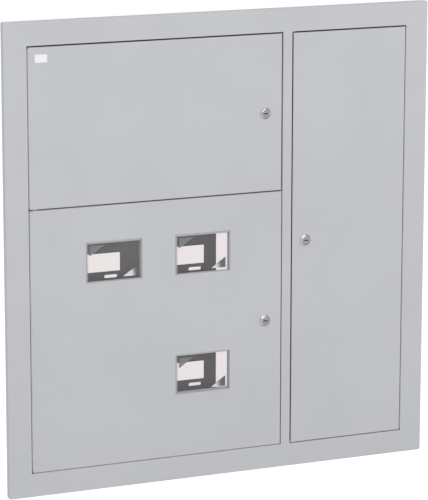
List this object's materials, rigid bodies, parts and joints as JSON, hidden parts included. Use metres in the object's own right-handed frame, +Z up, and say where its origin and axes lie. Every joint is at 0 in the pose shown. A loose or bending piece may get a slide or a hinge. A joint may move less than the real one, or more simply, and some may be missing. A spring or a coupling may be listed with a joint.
{
  "type": "recessed electricity meter cabinet",
  "caption": "Recessed sheet-steel meter and wiring cabinet with a flush front frame, hinged lockable doors, glazed meter windows and an open back.",
  "frame": {"origin": "centre of the four wall bolt holes, on the rear face that lies against the niche's back wall", "axes": "+X to the right as seen from the front, +Y into the wall, +Z up"},
  "size_m": [0.96, 0.156, 1],
  "materials": {
    "grey_paint": "fine matt powder coat",
    "dark_paint": "matt dark grey paint",
    "zinc_steel": "bright zinc plating",
    "brass": "drawn brass",
    "blue_plastic": "moulded blue plastic",
    "light_grey_plastic": "moulded light grey plastic",
    "white_plastic": "smooth white plastic",
    "black_rubber": "soft black rubber",
    "lock_chrome": "satin chrome",
    "clear_pane": "clear polished sheet"
  },
  "bodies": {
    "cabinet": {"front_frame": "grey_paint", "left_side_wall": "grey_paint", "right_side_wall": "grey_paint", "top_wall": "grey_paint", "bottom_wall": "grey_paint", "centre_strip": "grey_paint", "vertical_partition": "grey_paint", "split_rail": "grey_paint", "divider_shelf": "grey_paint", "meter_plate_upper": "dark_paint", "meter_plate_lower": "dark_paint", "meter_rail_1": "zinc_steel", "meter_rail_2": "zinc_steel", "meter_rail_3": "zinc_steel", "meter_rail_4": "zinc_steel", "device_upright_left": "zinc_steel", "device_upright_right": "zinc_steel", "din_rail_upper": "zinc_steel", "din_rail_lower": "zinc_steel", "breaker_cover": "grey_paint", "cover_pillars": "zinc_steel", "neutral_holders": "blue_plastic", "earth_posts": "brass", "neutral_bar": "brass", "earth_bar": "brass", "terminal_screws": "zinc_steel", "wiring_panel": "zinc_steel", "mounting_screws": "zinc_steel", "door_bumpers": "black_rubber", "left_hinge_pins": "zinc_steel", "right_hinge_pins": "zinc_steel"},
    "upper_door": {"upper_door_panel": "grey_paint", "upper_door_stiffener": "grey_paint", "upper_lock_housing": "lock_chrome", "upper_lock_nut": "zinc_steel", "badge": "white_plastic"},
    "lower_door": {"lower_door_panel": "grey_paint", "lower_door_stiffener": "grey_paint", "lower_lock_housing": "lock_chrome", "lower_lock_nut": "zinc_steel", "window_retainer_1": "light_grey_plastic", "window_pane_1": "clear_pane", "window_retainer_2": "light_grey_plastic", "window_pane_2": "clear_pane", "window_retainer_3": "light_grey_plastic", "window_pane_3": "clear_pane"},
    "right_door": {"right_door_panel": "grey_paint", "right_door_stiffener": "grey_paint", "right_lock_housing": "lock_chrome", "right_lock_nut": "zinc_steel"},
    "upper_lock": {"upper_lock_plug": "lock_chrome", "upper_lock_cam": "zinc_steel", "upper_cam_nut": "zinc_steel"},
    "lower_lock": {"lower_lock_plug": "lock_chrome", "lower_lock_cam": "zinc_steel", "lower_cam_nut": "zinc_steel"},
    "right_lock": {"right_lock_plug": "lock_chrome", "right_lock_cam": "zinc_steel", "right_cam_nut": "zinc_steel"}
  },
  "joints": [
    {"name": "upper_door_swing", "type": "hinge", "parent": "cabinet", "child": "upper_door", "pos_m": [-0.415, -0.1425, 0], "axis": [0, 0, -1], "range_deg": [0, 110]},
    {"name": "lower_door_swing", "type": "hinge", "parent": "cabinet", "child": "lower_door", "pos_m": [-0.415, -0.1425, 0], "axis": [0, 0, -1], "range_deg": [0, 110]},
    {"name": "right_door_swing", "type": "hinge", "parent": "cabinet", "child": "right_door", "pos_m": [0.415, -0.1425, 0], "axis": [0, 0, 1], "range_deg": [0, 110]},
    {"name": "upper_lock_turn", "type": "hinge", "parent": "upper_door", "child": "upper_lock", "pos_m": [0.099, -0.15, 0.2795], "axis": [0, -1, 0], "range_deg": [0, 90]},
    {"name": "lower_lock_turn", "type": "hinge", "parent": "lower_door", "child": "lower_lock", "pos_m": [0.1, -0.15, -0.1695], "axis": [0, -1, 0], "range_deg": [0, 90]},
    {"name": "right_lock_turn", "type": "hinge", "parent": "right_door", "child": "right_lock", "pos_m": [0.194, -0.15, -0.00075], "axis": [0, 1, 0], "range_deg": [0, 90]}
  ]
}
